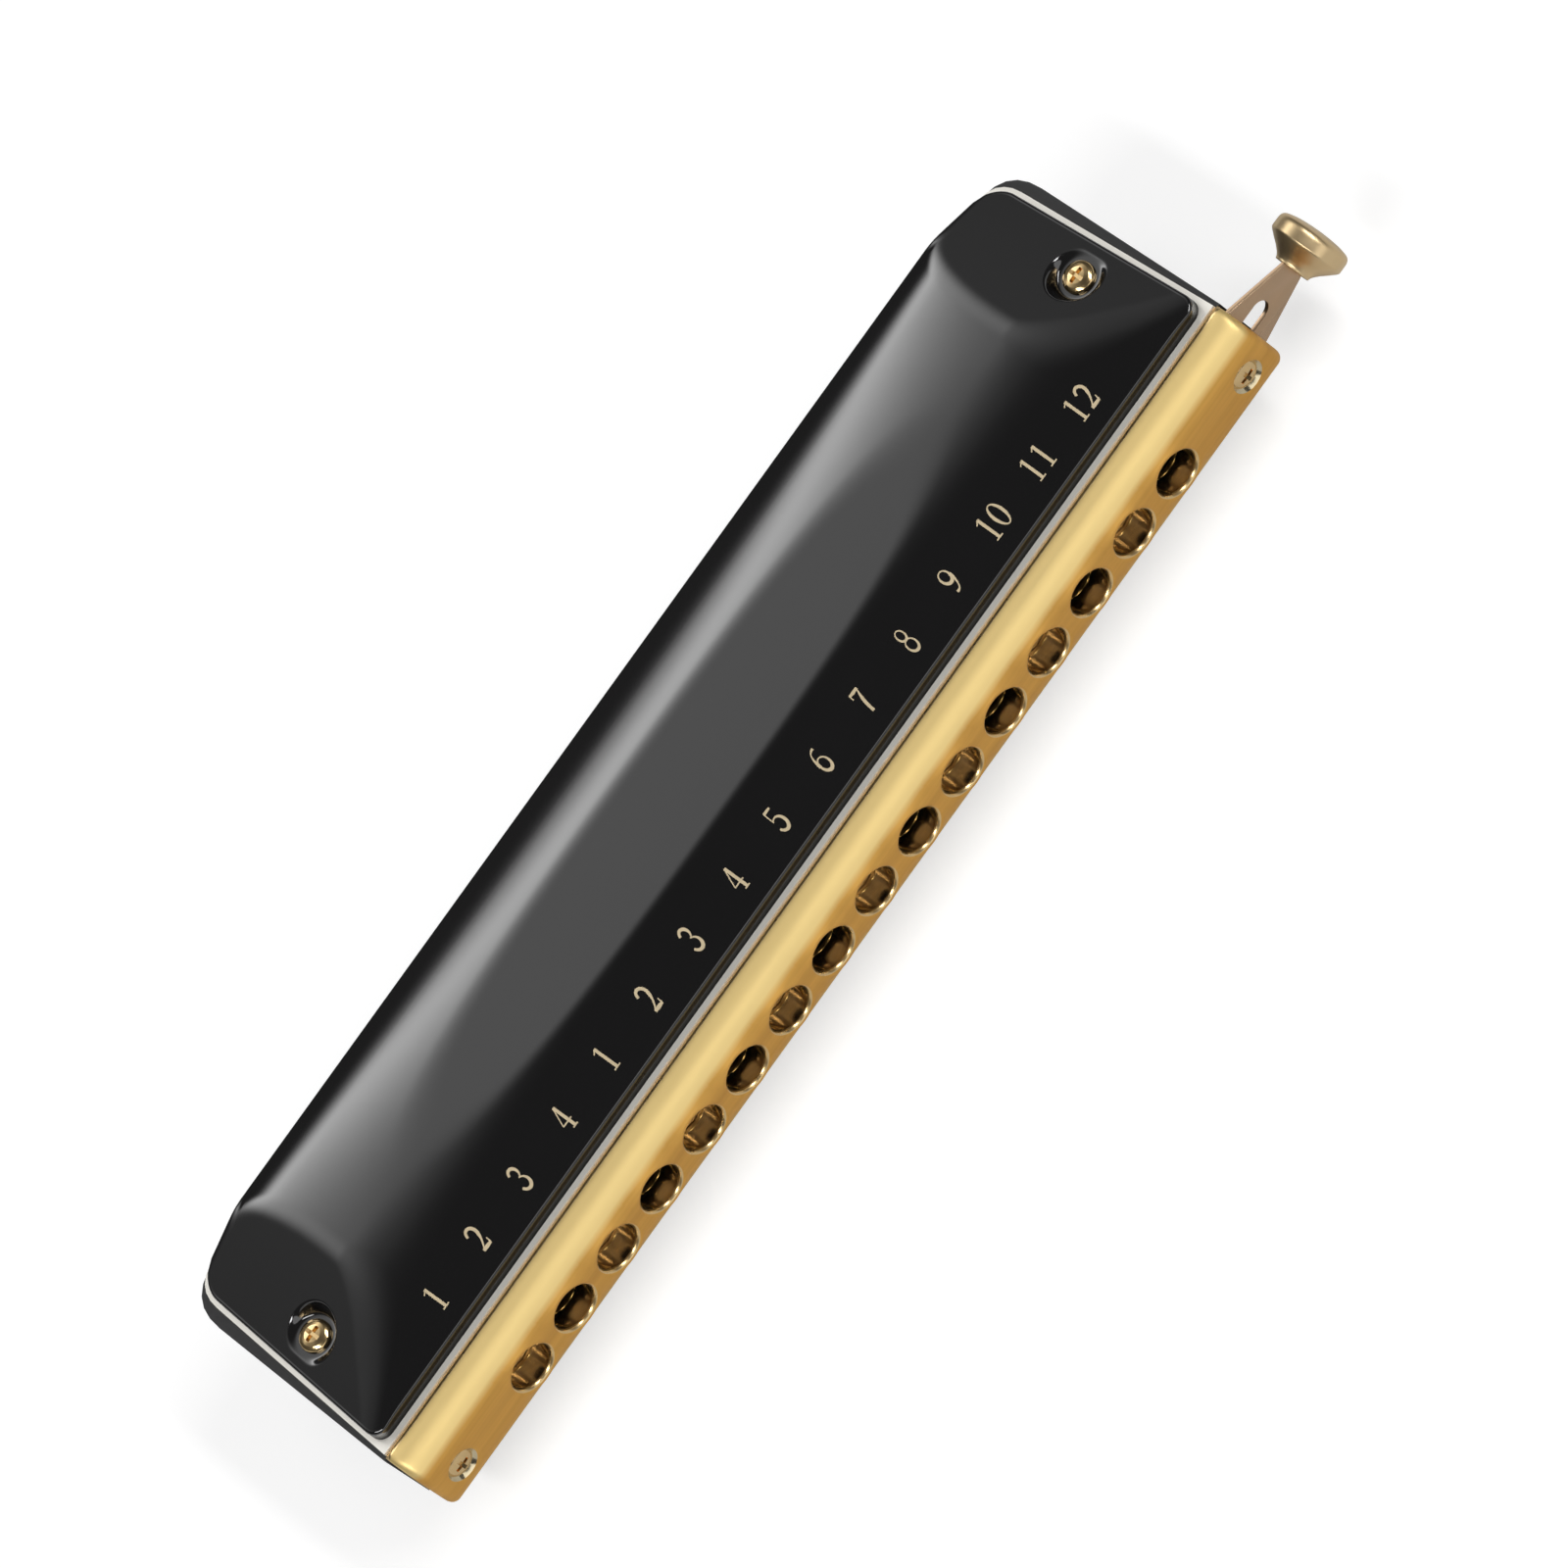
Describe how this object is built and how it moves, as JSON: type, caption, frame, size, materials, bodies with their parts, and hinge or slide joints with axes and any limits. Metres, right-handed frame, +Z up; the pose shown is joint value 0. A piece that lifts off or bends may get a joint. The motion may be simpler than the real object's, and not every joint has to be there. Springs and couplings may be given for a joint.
{
  "type": "chromatic harmonica",
  "caption": "Chromatic harmonica: black domed covers, gilt mouthpiece with a row of round holes, reed plates on a plastic comb, and a sprung slide with a button at its right-hand end.",
  "frame": {"origin": "middle of the flat on the lower cover, which the instrument lies on; this is under the middle of the row of holes", "axes": "+X along the row of holes towards the high notes and the button, +Y from the mouthpiece to the open back, +Z up"},
  "size_m": [0.1997, 0.0473, 0.03],
  "materials": {
    "cover_lacquer": "gloss black lacquer on pressed sheet",
    "gilt": "polished gilt plating",
    "gilt_screws": "polished gilt plating",
    "reed_plate_metal": "bright plating",
    "comb_plastic": "moulded, satin",
    "slide_metal": "plated brass, satin",
    "slide_frame_brass": "satin",
    "spring_steel": "drawn wire",
    "bumper_rubber": "soft tube",
    "plate_screw_brass": "turned"
  },
  "bodies": {
    "body": {"comb": "comb_plastic", "upper_reed_plate": "reed_plate_metal", "lower_reed_plate": "reed_plate_metal", "upper_cover": "cover_lacquer", "lower_cover": "cover_lacquer", "mouthpiece": "gilt", "slide_frame": "slide_frame_brass", "slide_backing_plate": "slide_frame_brass", "slide_spring": "spring_steel", "left_bumper": "bumper_rubber", "right_bumper": "bumper_rubber", "mouthpiece_screw_left": "gilt_screws", "mouthpiece_screw_right": "gilt_screws", "cover_screw_left": "gilt_screws", "cover_screw_right": "gilt_screws", "cover_nut_left": "gilt_screws", "cover_nut_right": "gilt_screws", "upper_plate_screw_1": "plate_screw_brass", "upper_plate_screw_2": "plate_screw_brass", "upper_plate_screw_3": "plate_screw_brass", "upper_plate_screw_4": "plate_screw_brass", "upper_plate_screw_5": "plate_screw_brass", "lower_plate_screw_1": "plate_screw_brass", "lower_plate_screw_2": "plate_screw_brass", "lower_plate_screw_3": "plate_screw_brass", "lower_plate_screw_4": "plate_screw_brass", "lower_plate_screw_5": "plate_screw_brass"},
    "slide": {"slide": "slide_metal", "button": "gilt"}
  },
  "joints": [
    {"name": "slide_press", "type": "slide", "parent": "body", "child": "slide", "axis": [1, 0, 0], "range_m": [-0.0046, 0], "stiffness_N_per_m": 300, "springref_m": 0.003, "deforming": ["slide_spring"]}
  ]
}
